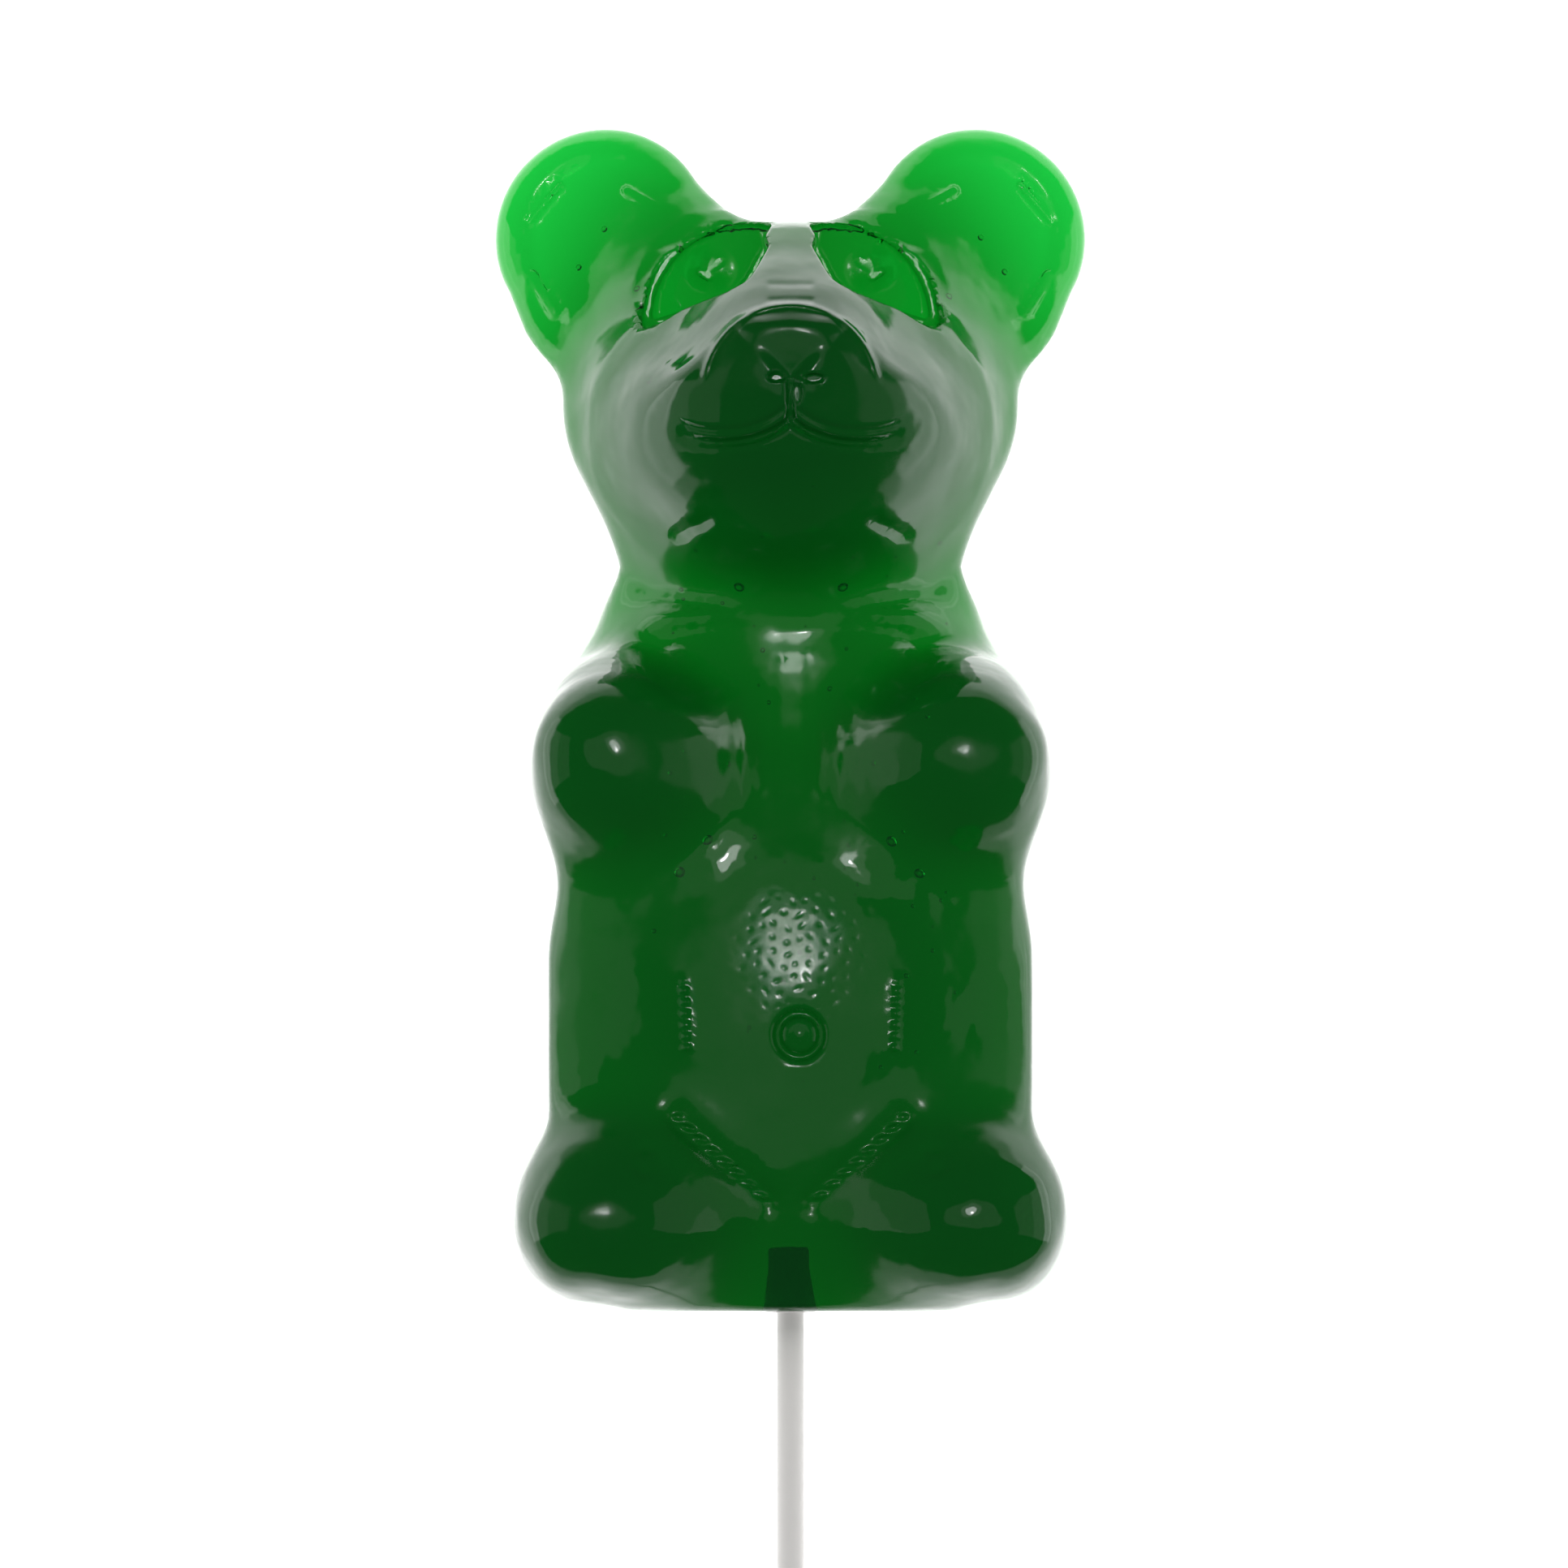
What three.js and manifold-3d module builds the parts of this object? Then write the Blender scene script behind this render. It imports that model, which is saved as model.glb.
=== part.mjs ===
// A giant gummy bear on a stick, lying on its flat back. Millimetres: X across the bear, Y from
// its feet to its ears, Z up from the flat back to the belly. The origin is on the back, under
// the middle of the chest. The bear is one cast body, and the stick is pushed up into it.
import * as THREE from 'three';
import { mergeVertices } from 'three/addons/utils/BufferGeometryUtils.js';
import Module from 'manifold-3d';

// Driving dimensions. Every pair of limbs is written once, for the side where X is positive.
const TORSO = { centre: [0, -34.4], half: [22.9, 21], corner: 9 };
const HIP = { centre: [20.3, -46.2], radii: [5.85, 8.4] };
const SHOULDER = { centre: [15.2, -4.6], radii: [9.5, 10.9] };
const NECK = { centre: [0, 9.3], radii: [16.7, 7.3] };
const FACE = { centre: [0, 29], radii: [21.5, 17.4] };
const CROWN = { centre: [0, 37.1], radii: [15.9, 5.6] };
const EAR = { from: [17.6, 45.2], to: [15.5, 41.6], radii: [10.25, 10.9] };
const SPINE = { from: [0, -30], to: [0, 10], radii: [15, 15] };

const TRUNK_TOP = 27.5;           // chest and torso, before the belly's dome
const FACE_DROP = 12;             // how far the brow lies below the chest
const FACE_START = 17;            // Y where the chest begins to fall to the face
const FACE_END = 33;
const EAR_FALL = { centre: [3.9, 36.8], radius: 11.3, slope: 0.85, start: 30, end: 36 };
const FLANK = { torso: 7, chest: 13.5, head: 5 };   // how widely the sides round over
const TORSO_FLANK_END = -16;
const CHEST_FLANK_START = 6;
const CHEST_FLANK_END = 28;
const HEAD_FLANK_START = 38;
const END_SLOPE = { from: [-55.3, 10], to: [-51.4, 17] };   // Y and Z, between the legs
const CHEEKS = {                  // a blunt cone under the muzzle, with its outline at a level
  centre: [0, 26], radii: [15.7, 12.5], level: 24, taper: 0.55, top: 33.5, edge: 3.5,
};
const UNDER_EYE = { start: 31, end: 35, taper: 0.65 };   // the cone leans back more under the eyes
const BRIDGE = { from: [0, 34, 29], to: [0, 45, 11.5], radii: [5, 5] };
const BELLY = { centre: [0, -26, 18.5], radii: [21, 26, 13.8] };
const BREAST = { centre: [0, -5, 20.7], radii: [6.5, 16, 7.5] };
const ARM = { centre: [16.2, -3.9, 25], radii: [11, 8.8, 10] };
const LEG = { centre: [16.8, -46, 25], radii: [11.5, 9, 12] };

const EAR_TOP = { height: 9.2, lean: [0.1, 0.174], from: [17.5, 44.5], edge: 2.6 };
const EAR_DISH = { from: [17.2, 45.4], to: [17.6, 40.5], radii: [7.2, 6.4], depth: 1.5, edge: 3.4 };
const SNOUT = { centre: [0, 29.4], radii: [8.5, 8.3] };
const JOWLS = { from: [0, 27.2], to: [6.9, 27], radii: [4.4, 4.9] };
const SNOUT_TOP = { height: 39, y: 31.5, dome: 0.028, edge: 2.2, taper: 0.25, taperFrom: 36 };
const CHIN = { centre: [0, 22, 21], radii: [8.2, 9.5, 12] };

const EYE = { arc: { centre: [3.9, 36.8], radius: 9 }, corner: 1.2, end: 0.5 };
const EYE_BELOW = { slope: [-0.316, -0.949], reach: 39.1 };
const EYE_BESIDE = { slope: [-0.88, -0.474], reach: 23.1 };
const EYE_FLOOR = { height: 13.8, slope: 0.3, from: 13 };   // rises towards the nose
const RIM = { height: 17.2, slope: 0.1, from: 40, width: 0.6, lean: 0.9, depth: 2, edge: 0.8 };
const PUPIL = { centre: [7.5, 41.7], radii: [1.5, 1.3], height: 0.7, edge: 2.4 };
const NOSE = { top: 36, tip: 30.2, slope: [0.75, -0.66], corner: 2, edge: 1.4 };
const NOSE_FACE = { height: 39, y: 34, slope: 0.15 };
const LIP = { centre: [6.2, 29.4], radii: [7.2, 4.5], groove: 0.7, width: 1.1 };
const LIP_END = { y: 28.2, x: 10.2, edge: 1.5 };
const PHILTRUM = { y: 28.8, half: 1, edge: 1 };
const NAVEL = { centre: [0.8, -29.2], radius: 1.9, groove: 0.5, width: 1 };
const RELIEF_FROM = [8, 13];      // heights between which the low relief comes in

const WALL_LEAN = 0.03;           // draft of the sides, above where the back's rim ends
const WALL_LEAN_FROM = 6;
const BACK_EDGE = 2.2;            // softness of the rim of the flat back
const BACK_DEPTH = 0.35;          // how far the forms reach below the flat back
const MIDDLE = 3;                 // half of the strip where the two sides are eased together

const FILLET = {
  outline: 9, hip: 2.7, ear: 2.4, earRoot: 5, paw: 7, pawEdge: 3, cheek: 4, bridge: 3, breast: 5,
  belly: 2, jowl: 2.5, chin: 6, snout: 4, rim: 2, socket: 2.5, end: 4, wall: 0.6,
};

const STICK_RADIUS = 1.25;
const COLLAR_RADIUS = 2.5;
const STICK_HEIGHT = 14;        // of its axis above the flat back
const STICK_OUTER_END = -151;
const COLLAR_OUTER_END = -55.4;   // level with the bear's feet
const COLLAR_INNER_END = -48;
const STICK_GAP = 0.3;            // all round the stick, in its socket
const STICK_CHAMFER = 0.3;
const STICK_SIDES = 24;

const CELL = 1.85;                // grid step of the bear's faceted surface
const GRID = { low: [-32, -60, -3], high: [32, 60, 43] };
const UNDER_BACK = [100, 160, 20];
const SETTLE = { rounds: 6, share: 0.5, nudge: 0.02 * CELL, flattest: 0.05 };

// Distances, negative inside, of the simple forms that the bear is blended from.
const length = (...v) => Math.hypot(...v);
const clamp = (v, low, high) => Math.min(Math.max(v, low), high);

function join(a, b, k) {
  const h = Math.max(k - Math.abs(a - b), 0);
  return Math.min(a, b) - (h * h) / (4 * k);
}

const overlap = (a, b, k) => -join(-a, -b, k);

function ellipsoid(point, { centre, radii }) {
  const d = centre.map((c, i) => point[i] - c);
  const near = length(...d.map((v, i) => v / radii[i]));
  const slope = length(...d.map((v, i) => v / radii[i] ** 2));
  return (near * (near - 1)) / Math.max(slope, 1e-9);
}

function capsule(point, { from, to, radii }) {
  const axis = to.map((v, i) => v - from[i]);
  const offset = from.map((v, i) => point[i] - v);
  const along = axis.reduce((sum, v, i) => sum + v * offset[i], 0);
  const t = clamp(along / axis.reduce((sum, v) => sum + v * v, 0), 0, 1);
  return length(...offset.map((v, i) => v - t * axis[i])) - (radii[0] + (radii[1] - radii[0]) * t);
}

function roundedBox([x, y], { centre, half, corner }) {
  const qx = Math.abs(x - centre[0]) - half[0] + corner;
  const qy = Math.abs(y - centre[1]) - half[1] + corner;
  return length(Math.max(qx, 0), Math.max(qy, 0)) + Math.min(Math.max(qx, qy), 0) - corner;
}

// A block of the flat outline up to a height, with its upper edge rounded.
function block(outline, z, top, edge) {
  const a = outline + edge;
  const b = z - top + edge;
  return length(Math.max(a, 0), Math.max(b, 0)) + Math.min(Math.max(a, b), 0) - edge;
}

// 1 inside a flat outline and 0 outside it, over a band of the given width.
function fade(outline, width) {
  return THREE.MathUtils.smoothstep(0.5 - outline / width, 0, 1);
}

const ease = (value, start, end) => THREE.MathUtils.smoothstep(value, start, end);

const ridge = (distance, width) => Math.exp(-((distance / width) ** 2));

const earOutline = (flat) => join(capsule(flat, EAR), ellipsoid(flat, CROWN), FILLET.outline);

function bodyOutline(flat) {
  const chest = join(ellipsoid(flat, NECK), ellipsoid(flat, SHOULDER), FILLET.outline);
  let body = join(roundedBox(flat, TORSO), ellipsoid(flat, HIP), FILLET.hip);
  body = Math.min(join(body, chest, FILLET.outline), capsule(flat, SPINE));
  return join(body, ellipsoid(flat, FACE), FILLET.outline);
}

// The figure seen from above: what its edge would trace round it on the table.
const outline = (flat) => join(bodyOutline(flat), earOutline(flat), FILLET.ear);

// A leaf shape: a long arc above, nearly straight below and on the side of the nose.
function eyeOutline([x, y]) {
  const arc = length(x - EYE.arc.centre[0], y - EYE.arc.centre[1]) - EYE.arc.radius;
  const below = EYE_BELOW.reach + EYE_BELOW.slope[0] * x + EYE_BELOW.slope[1] * y;
  const beside = EYE_BESIDE.reach + EYE_BESIDE.slope[0] * x + EYE_BESIDE.slope[1] * y;
  return overlap(arc, overlap(below, beside, EYE.corner), EYE.end);
}

// The face is raised round each eye to a narrow level rim.
function eyeRim(flat, z) {
  const level = RIM.height - RIM.slope * (flat[1] - RIM.from);
  const shoulder = RIM.lean * clamp(z - level, -RIM.depth, 0);
  return block(eyeOutline(flat) - RIM.width + shoulder, z, level, RIM.edge);
}

// Each eye is let into the face, down to a floor of its own with a low pupil on it.
function eyeSocket(flat, z) {
  const pupil = PUPIL.height * fade(ellipsoid(flat, PUPIL), PUPIL.edge);
  const floor = EYE_FLOOR.height + EYE_FLOOR.slope * Math.max(EYE_FLOOR.from - flat[0], 0) + pupil;
  return Math.max(eyeOutline(flat), floor - z);
}

const snoutTop = ([x, y]) => SNOUT_TOP.height - SNOUT_TOP.dome * (x ** 2 + (y - SNOUT_TOP.y) ** 2);

// Low relief of the nose, the mouth and the navel, as a height above the blended forms.
function relief(x, y) {
  const side = Math.abs(x);
  const flat = [side, y];
  const nose = overlap(y - NOSE.top, NOSE.slope[0] * side + NOSE.slope[1] * (y - NOSE.tip), NOSE.corner);
  const noseFace = NOSE_FACE.height + NOSE_FACE.slope * (y - NOSE_FACE.y);
  const lipEnds = fade(y - LIP_END.y, LIP_END.edge) * fade(side - LIP_END.x, LIP_END.edge);
  const philtrum = fade(Math.abs(y - PHILTRUM.y) - PHILTRUM.half, PHILTRUM.edge);
  const navel = length(x - NAVEL.centre[0], y - NAVEL.centre[1]) - NAVEL.radius;
  let height = (noseFace - snoutTop(flat)) * fade(nose, NOSE.edge);
  height -= LIP.groove * ridge(ellipsoid(flat, LIP), LIP.width) * lipEnds;
  height -= LIP.groove * ridge(x, LIP.width) * philtrum;
  return height - NAVEL.groove * ridge(navel, NAVEL.width);
}

// The torso, neck and head, with flanks that round over from the outline.
function body(point, flat, z) {
  const [x, y] = flat;
  const { centre, radius, slope, start, end } = EAR_FALL;
  const besideFace = Math.max(length(x - centre[0], y - centre[1]) - radius, 0);
  const earFall = slope * besideFace * ease(y, start, end);
  const top = TRUNK_TOP - FACE_DROP * ease(y, FACE_START, FACE_END) - earFall;
  const widening = (FLANK.chest - FLANK.torso) * ease(y, TORSO_FLANK_END, CHEST_FLANK_START);
  const narrowing = (FLANK.chest - FLANK.head) * ease(y, CHEST_FLANK_END, HEAD_FLANK_START);
  let form = block(outline(flat), z, top, FLANK.torso + widening - narrowing);
  form = overlap(form, endSlope(y, z), FILLET.end);
  form = join(form, cheeks(flat, z), FILLET.cheek);
  form = join(form, capsule(point, BRIDGE), FILLET.bridge);
  const belly = join(ellipsoid(point, BELLY), ellipsoid(point, BREAST), FILLET.breast);
  return join(form, belly, FILLET.belly);
}

function cheeks(flat, z) {
  const { level, taper, top, edge } = CHEEKS;
  const leanBack = taper + UNDER_EYE.taper * ease(flat[1], UNDER_EYE.start, UNDER_EYE.end);
  const lean = leanBack * Math.max(z - level, 0) + taper * Math.min(z - level, 0);
  return block(ellipsoid(flat, CHEEKS) + lean, z, top, edge);
}

function endSlope(y, z) {
  const { from, to } = END_SLOPE;
  const rise = length(to[0] - from[0], to[1] - from[1]);
  return ((to[0] - from[0]) * (z - from[1]) - (to[1] - from[1]) * (y - from[0])) / rise;
}

function muzzle(point, flat, z) {
  const { edge, taper, taperFrom } = SNOUT_TOP;
  const side = join(ellipsoid(flat, SNOUT), capsule(flat, JOWLS), FILLET.jowl);
  const snout = block(side + taper * (z - taperFrom), z, snoutTop(flat), edge);
  return join(snout, ellipsoid(point, CHIN), FILLET.chin);
}

// The ears thin towards their rims, and their faces are dished.
function ears(flat, z) {
  const { height, lean, from, edge } = EAR_TOP;
  const dish = EAR_DISH.depth * fade(capsule(flat, EAR_DISH), EAR_DISH.edge);
  const thinning = lean[0] * (flat[0] - from[0]) + lean[1] * (flat[1] - from[1]);
  return block(earOutline(flat), z, height - thinning - dish, edge);
}

// The sides lean in a little, so that the casting comes out of its mould.
const wall = (flat, z) => outline(flat) + WALL_LEAN * Math.max(z - WALL_LEAN_FROM, 0);

function paws(point, flat, z) {
  const blobs = Math.min(ellipsoid(point, ARM), ellipsoid(point, LEG));
  return overlap(blobs, wall(flat, z), FILLET.pawEdge);
}

// Distance from the middle, eased near it so that the two sides meet without a crease.
function mirrored(x) {
  const away = Math.abs(x);
  return away < MIDDLE ? (x * x) / (2 * MIDDLE) + MIDDLE / 2 : away;
}

// Distance of the whole bear.
function bear(x, y, z) {
  const side = mirrored(x);
  const trueFlat = [Math.abs(x), y];
  const flat = [side, y];
  const point = [side, y, z];
  let form = join(body(point, flat, z), ears(flat, z), FILLET.earRoot);
  form = join(form, paws(point, flat, z), FILLET.paw);
  form = join(form, muzzle([x, y, z], trueFlat, z), FILLET.snout);
  form -= relief(x, y) * clamp((z - RELIEF_FROM[0]) / (RELIEF_FROM[1] - RELIEF_FROM[0]), 0, 1);
  form = join(form, eyeRim(trueFlat, z), FILLET.rim);
  form = overlap(form, -eyeSocket(trueFlat, z), FILLET.socket);
  form = overlap(form, wall(flat, z), FILLET.wall);
  return overlap(form, -BACK_DEPTH - z, BACK_EDGE);
}

// The corners of a grid cell, numbered by one bit for each axis, and the four of each face.
const CORNERS = Array.from({ length: 8 }, (_, n) => [n & 1, (n >> 1) & 1, n >> 2]);
const FACES = [0, 1, 2].flatMap((axis) => [0, 1].map(
  (side) => CORNERS.flatMap((corner, n) => (corner[axis] === side ? [n] : []))));
const FACE_DIAGONAL = [3, 5, 6];
const CELL_DIAGONAL = [7];
const WHOLE_CELL = CORNERS.map((_, n) => n);

// Turns the region where the distance is negative into a closed mesh: one vertex in each grid
// cell that the surface crosses, and one quad round each grid edge that it crosses. The vertices
// are then evened out and drawn on to the surface.
function surfaceMesh(distance, low, high, cell) {
  const count = low.map((v, i) => Math.ceil((high[i] - v) / cell) + 1);
  const at = (i, j, k) => (k * count[1] + j) * count[0] + i;
  const values = new Float32Array(count[0] * count[1] * count[2]);
  const place = (index, axis) => low[axis] + index * cell;
  for (let k = 0; k < count[2]; k++) {
    for (let j = 0; j < count[1]; j++) {
      for (let i = 0; i < count[0]; i++) {
        values[at(i, j, k)] = distance(place(i, 0), place(j, 1), place(k, 2));
      }
    }
  }

  fillPinches(values, count, at);

  const vertexOf = new Int32Array(values.length).fill(-1);
  const vertices = [];
  for (let k = 0; k + 1 < count[2]; k++) {
    for (let j = 0; j + 1 < count[1]; j++) {
      for (let i = 0; i + 1 < count[0]; i++) {
        const inside = CORNERS.filter(([a, b, c]) => values[at(i + a, j + b, k + c)] < 0).length;
        if (inside === 0 || inside === 8) continue;
        vertexOf[at(i, j, k)] = vertices.length;
        vertices.push([place(i + 0.5, 0), place(j + 0.5, 1), place(k + 0.5, 2)]);
      }
    }
  }

  const triangles = [];
  const steps = [[1, 0, 0], [0, 1, 0], [0, 0, 1]];
  for (let k = 1; k + 1 < count[2]; k++) {
    for (let j = 1; j + 1 < count[1]; j++) {
      for (let i = 1; i + 1 < count[0]; i++) {
        const here = values[at(i, j, k)] < 0;
        steps.forEach((step, axis) => {
          const there = values[at(i + step[0], j + step[1], k + step[2])] < 0;
          if (here === there) return;
          const u = steps[(axis + 1) % 3];
          const v = steps[(axis + 2) % 3];
          const ring = [[0, 0], [1, 0], [1, 1], [0, 1]].map(([a, b]) => vertexOf[
            at(i - a * u[0] - b * v[0], j - a * u[1] - b * v[1], k - a * u[2] - b * v[2])]);
          if (!here) ring.reverse();
          triangles.push([ring[0], ring[1], ring[2]], [ring[0], ring[2], ring[3]]);
        });
      }
    }
  }
  settle(vertices, triangles, distance, cell);
  return toGeometry(vertices, triangles);
}

// A grid face or cell whose inner corners touch only across a diagonal would pinch the surface
// to a point or an edge, so its nearest outer corner is taken as inside until none is left.
function fillPinches(values, count, at) {
  let found = true;
  while (found) {
    found = false;
    for (let k = 0; k + 1 < count[2]; k++) {
      for (let j = 0; j + 1 < count[1]; j++) {
        for (let i = 0; i + 1 < count[0]; i++) {
          const cell = CORNERS.map(([a, b, c]) => at(i + a, j + b, k + c));
          const pinched = [...FACES, WHOLE_CELL].find((set) => isPinched(set, cell, values));
          if (!pinched) continue;
          const outer = pinched.map((n) => cell[n]).filter((n) => values[n] >= 0);
          values[outer.reduce((best, n) => (values[n] < values[best] ? n : best))] = -1e-3;
          found = true;
        }
      }
    }
  }
}

function isPinched(set, cell, values) {
  const inner = set.filter((n) => values[cell[n]] < 0);
  const outer = set.filter((n) => values[cell[n]] >= 0);
  const across = set.length === 4 ? FACE_DIAGONAL : CELL_DIAGONAL;
  const loose = (pair) => pair.length === 2 && across.includes(pair[0] ^ pair[1]);
  return set.length === 4 ? loose(inner) && loose(outer) : loose(inner) || loose(outer);
}

function settle(vertices, triangles, distance, cell) {
  const neighbours = vertices.map(() => new Set());
  for (const [a, b, c] of triangles) {
    neighbours[a].add(b).add(c);
    neighbours[b].add(a).add(c);
    neighbours[c].add(a).add(b);
  }
  const project = (p) => {
    const value = distance(...p);
    const gradient = [0, 1, 2].map((i) => {
      const ahead = [...p];
      const behind = [...p];
      ahead[i] += SETTLE.nudge;
      behind[i] -= SETTLE.nudge;
      return (distance(...ahead) - distance(...behind)) / (2 * SETTLE.nudge);
    });
    const size = Math.max(gradient.reduce((sum, g) => sum + g * g, 0), SETTLE.flattest);
    const shift = clamp(value, -cell / 2, cell / 2) / size;
    return p.map((v, i) => v - shift * gradient[i]);
  };
  for (let round = 0; round < SETTLE.rounds; round++) {
    const smoothed = vertices.map((p, n) => {
      const ring = [...neighbours[n]];
      const middle = [0, 1, 2].map((i) => ring.reduce((s, m) => s + vertices[m][i], 0) / ring.length);
      return p.map((v, i) => v + SETTLE.share * (middle[i] - v));
    });
    smoothed.forEach((p, n) => { vertices[n] = project(project(p)); });
  }
}

function toGeometry(vertices, triangles) {
  const geometry = new THREE.BufferGeometry();
  geometry.setAttribute('position', new THREE.BufferAttribute(new Float32Array(vertices.flat()), 3));
  geometry.setIndex(triangles.flat());
  return geometry;
}

// Booleans, on closed meshes whose vertices are shared.
const wasm = await Module();
wasm.setup();

function toSolid(geometry) {
  const bare = geometry.clone();
  bare.deleteAttribute('normal');
  bare.deleteAttribute('uv');
  const merged = mergeVertices(bare);
  return new wasm.Manifold(new wasm.Mesh({
    numProp: 3,
    vertProperties: merged.attributes.position.array,
    triVerts: new Uint32Array(merged.index.array),
  }));
}

function fromSolid(solid) {
  const mesh = solid.getMesh();
  const geometry = new THREE.BufferGeometry();
  geometry.setAttribute('position', new THREE.BufferAttribute(mesh.vertProperties, 3));
  geometry.setIndex(new THREE.BufferAttribute(mesh.triVerts, 1));
  return geometry;
}

// The stick's turned form, with the collar, both grown by a gap; it runs along Y.
function stickForm(gap) {
  const thin = STICK_RADIUS + gap;
  const thick = COLLAR_RADIUS + gap;
  const profile = [
    [0, STICK_OUTER_END - gap],
    [thin - STICK_CHAMFER, STICK_OUTER_END - gap],
    [thin, STICK_OUTER_END + STICK_CHAMFER],
    [thin, COLLAR_OUTER_END - gap],
    [thick, COLLAR_OUTER_END - gap],
    [thick, COLLAR_INNER_END + gap],
    [0, COLLAR_INNER_END + gap],
  ].map(([radius, along]) => new THREE.Vector2(radius, along));
  const form = new THREE.LatheGeometry(profile, STICK_SIDES);
  form.translate(0, 0, STICK_HEIGHT);
  return form;
}

function bearGeometry() {
  const skin = surfaceMesh(bear, GRID.low, GRID.high, CELL);
  const underBack = new THREE.BoxGeometry(...UNDER_BACK).translate(0, 0, -UNDER_BACK[2] / 2);
  return fromSolid(toSolid(skin).subtract(toSolid(underBack)).subtract(toSolid(stickForm(STICK_GAP))));
}

const jelly = new THREE.MeshStandardMaterial({ color: 0x0b7a1c, roughness: 0.12, metalness: 0 });
const whitePaper = new THREE.MeshStandardMaterial({ color: 0xe6e3e0, roughness: 0.6, metalness: 0 });

const gummyBear = new THREE.Group();
const bearMesh = new THREE.Mesh(bearGeometry(), jelly);
bearMesh.name = 'bear';
const stickMesh = new THREE.Mesh(stickForm(0), whitePaper);
stickMesh.name = 'stick';
gummyBear.add(bearMesh, stickMesh);

export default gummyBear;
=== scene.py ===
import math

import bmesh
import bpy
import numpy as np
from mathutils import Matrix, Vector


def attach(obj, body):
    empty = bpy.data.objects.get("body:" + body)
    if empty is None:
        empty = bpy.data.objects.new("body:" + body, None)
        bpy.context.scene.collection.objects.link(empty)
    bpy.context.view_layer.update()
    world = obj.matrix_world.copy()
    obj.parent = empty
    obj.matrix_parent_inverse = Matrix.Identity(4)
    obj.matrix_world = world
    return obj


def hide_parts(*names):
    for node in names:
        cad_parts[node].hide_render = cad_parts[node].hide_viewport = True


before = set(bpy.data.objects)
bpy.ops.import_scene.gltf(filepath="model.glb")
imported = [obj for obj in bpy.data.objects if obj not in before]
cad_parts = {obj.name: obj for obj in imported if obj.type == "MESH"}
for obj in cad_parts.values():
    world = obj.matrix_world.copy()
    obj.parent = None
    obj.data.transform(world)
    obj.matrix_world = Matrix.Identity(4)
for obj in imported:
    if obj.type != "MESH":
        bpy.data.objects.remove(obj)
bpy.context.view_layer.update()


# --- The bear -------------------------------------------------------------------------------
# One casting of green fruit jelly, poured into a starch mould and turned out on its flat back.
# It is worked out as a distance, in millimetres, that is negative inside the jelly: rounded forms
# melted together, with limbs and ears written for the side where X is positive, and mirrored.
MM = 0.001
HEAD = (3.9, 36.8)        # the point that each eye's upper arc and the side of the brow turn about


def length(*parts):
    return np.sqrt(sum(part * part for part in parts))


def join(a, b, fillet):
    """Union of two forms, with a fillet between them."""
    overlap = np.maximum(fillet - np.abs(a - b), 0)
    return np.minimum(a, b) - overlap * overlap / (4 * fillet)


def trim(a, b, fillet):
    """What two forms have in common, with a rounded edge."""
    return -join(-a, -b, fillet)


def ellipsoid(point, centre, radii):
    """Distance from an ellipsoid, or from an ellipse where the point has two coordinates."""
    offset = [value - middle for value, middle in zip(point, centre)]
    near = length(*[value / radius for value, radius in zip(offset, radii)])
    slope = length(*[value / radius ** 2 for value, radius in zip(offset, radii)])
    return near * (near - 1) / np.maximum(slope, 1e-9)


def limb(point, start, end, radii):
    """A round bar that tapers from one ball to another."""
    axis = [b - a for a, b in zip(start, end)]
    offset = [value - a for value, a in zip(point, start)]
    along = sum(a * o for a, o in zip(axis, offset)) / sum(a * a for a in axis)
    along = np.clip(along, 0, 1)
    radius = radii[0] + (radii[1] - radii[0]) * along
    return length(*[o - along * a for o, a in zip(offset, axis)]) - radius


def rounded_corner(a, b, radius):
    """What two straight sides have in common, with a quarter round where they meet."""
    a, b = a + radius, b + radius
    return length(np.maximum(a, 0), np.maximum(b, 0)) + np.minimum(np.maximum(a, b), 0) - radius


def rounded_box(flat, centre, half, corner):
    across, along = [np.abs(value - middle) - size for value, middle, size in zip(flat, centre, half)]
    return rounded_corner(across, along, corner)


def block(outline, z, top, edge):
    """The outline stood up to a height, with its upper edge rounded."""
    return rounded_corner(outline, z - top, edge)


def fade(outline, width):
    """1 inside an outline and 0 outside it, over a band of the given width."""
    t = np.clip(0.5 - outline / width, 0, 1)
    return t * t * (3 - 2 * t)


def ridge(distance, width):
    """1 where the distance is zero, fading out on both sides."""
    return np.exp(-(distance / width) ** 2)


def ease(value, start, end):
    """0 before the start and 1 past the end, with a smooth step between."""
    t = np.clip((value - start) / (end - start), 0, 1)
    return t * t * (3 - 2 * t)


def ear_outline(flat):
    ear = limb(flat, (17.6, 45.2), (15.5, 41.6), (10.25, 10.9))
    crown = ellipsoid(flat, (0, 37.1), (15.9, 5.6))
    return join(ear, crown, 9)


def body_outline(flat):
    chest = ellipsoid(flat, (0, 9.3), (16.7, 7.3))
    arm = ellipsoid(flat, (15.2, -4.6), (9.5, 10.9))
    torso = rounded_box(flat, (0, -34.4), (22.9, 21), 9)
    leg = ellipsoid(flat, (20.3, -46.2), (5.85, 8.4))
    core = limb(flat, (0, -30), (0, 10), (15, 15))
    head = ellipsoid(flat, (0, 29), (21.5, 17.4))
    body = join(join(torso, leg, 2.7), join(chest, arm, 9), 9)
    return join(np.minimum(body, core), head, 9)


def figure_outline(flat):
    return join(body_outline(flat), ear_outline(flat), 2.4)


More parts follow.
